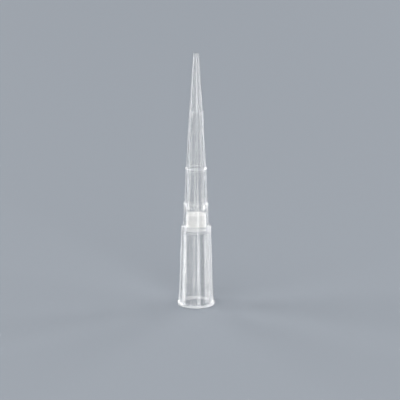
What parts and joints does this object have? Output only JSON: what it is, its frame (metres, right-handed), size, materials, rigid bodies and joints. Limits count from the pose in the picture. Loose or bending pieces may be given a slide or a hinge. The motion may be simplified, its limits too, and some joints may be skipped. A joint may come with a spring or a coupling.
{
  "type": "filter pipette tip",
  "caption": "Slender tapered pipette tip with a beaded collar, stepped graduation rings and a white filter plug pressed into its bore.",
  "frame": {"origin": "centre of the mouth, in the plane of the rim that the tip stands on", "axes": "+Z along the tip's axis from the mouth to the orifice; X and Y across it, alike in every direction"},
  "size_m": [0.0074, 0.0074, 0.0512],
  "materials": {
    "clear_polypropylene": "clear moulded polypropylene with a slight milky haze and a gloss surface",
    "porous_polyethylene": "white sintered polyethylene with a fine porous grain"
  },
  "bodies": {
    "root": {"tip_body": "clear_polypropylene", "filter_plug": "porous_polyethylene"}
  },
  "joints": []
}
